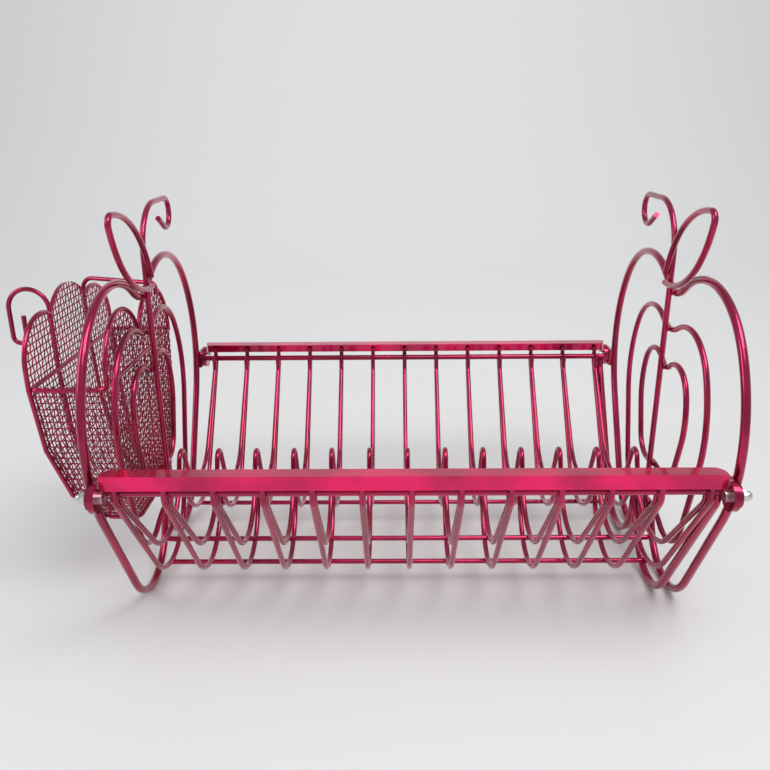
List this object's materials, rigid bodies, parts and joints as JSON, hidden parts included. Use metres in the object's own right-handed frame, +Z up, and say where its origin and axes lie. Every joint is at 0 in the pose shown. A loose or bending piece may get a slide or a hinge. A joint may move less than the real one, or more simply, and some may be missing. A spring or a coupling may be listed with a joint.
{
  "type": "dish drying rack",
  "caption": "Tabletop dish drying rack of pink-coated wire with apple-shaped end frames, a two-trough wire basket between two rails, and a mesh utensil caddy",
  "frame": {"origin": "on the worktop, midway between the two end frames and midway between front and back", "axes": "+X along the rails towards the frame without the caddy, +Y towards the back rail, +Z up"},
  "size_m": [0.5101, 0.325, 0.3002],
  "materials": {
    "coated_wire": "glossy metallic cerise coat on steel wire",
    "caddy_mesh": "glossy metallic cerise coat on woven wire mesh",
    "fastener_metal": "bright plated steel"
  },
  "bodies": {
    "rack": {"left_outer_outline": "coated_wire", "left_middle_outline": "coated_wire", "left_inner_outline": "coated_wire", "left_stem": "coated_wire", "left_leaf": "coated_wire", "right_outer_outline": "coated_wire", "right_middle_outline": "coated_wire", "right_inner_outline": "coated_wire", "right_stem": "coated_wire", "right_leaf": "coated_wire", "outer_wire_01": "coated_wire", "inner_wire_01": "coated_wire", "outer_wire_02": "coated_wire", "inner_wire_02": "coated_wire", "outer_wire_03": "coated_wire", "inner_wire_03": "coated_wire", "outer_wire_04": "coated_wire", "inner_wire_04": "coated_wire", "outer_wire_05": "coated_wire", "inner_wire_05": "coated_wire", "outer_wire_06": "coated_wire", "inner_wire_06": "coated_wire", "outer_wire_07": "coated_wire", "inner_wire_07": "coated_wire", "outer_wire_08": "coated_wire", "inner_wire_08": "coated_wire", "outer_wire_09": "coated_wire", "inner_wire_09": "coated_wire", "outer_wire_10": "coated_wire", "inner_wire_10": "coated_wire", "outer_wire_11": "coated_wire", "inner_wire_11": "coated_wire", "outer_wire_12": "coated_wire", "inner_wire_12": "coated_wire", "outer_wire_13": "coated_wire", "inner_wire_13": "coated_wire", "end_hoop": "coated_wire", "front_rail_rod": "coated_wire", "front_rail_channel": "coated_wire", "front_inner_support_rod": "coated_wire", "front_outer_support_rod": "coated_wire", "back_rail_rod": "coated_wire", "back_rail_channel": "coated_wire", "back_inner_support_rod": "coated_wire", "back_outer_support_rod": "coated_wire", "rail_eyes": "coated_wire", "frame_lugs": "coated_wire", "bolt_screws": "fastener_metal", "washers": "fastener_metal", "cap_nuts": "fastener_metal"},
    "utensil_caddy": {"caddy_basket": "caddy_mesh", "caddy_edge_wire": "coated_wire", "caddy_rim_wire": "coated_wire", "caddy_front_rib": "coated_wire", "caddy_back_rib": "coated_wire", "caddy_inner_edge_wire": "coated_wire", "caddy_foot_ring": "coated_wire", "caddy_hook": "coated_wire", "caddy_curl": "coated_wire"}
  },
  "joints": [
    {"name": "caddy_lift", "type": "slide", "parent": "rack", "child": "utensil_caddy", "axis": [0, 0, 1], "range_m": [0, 0.03]}
  ]
}
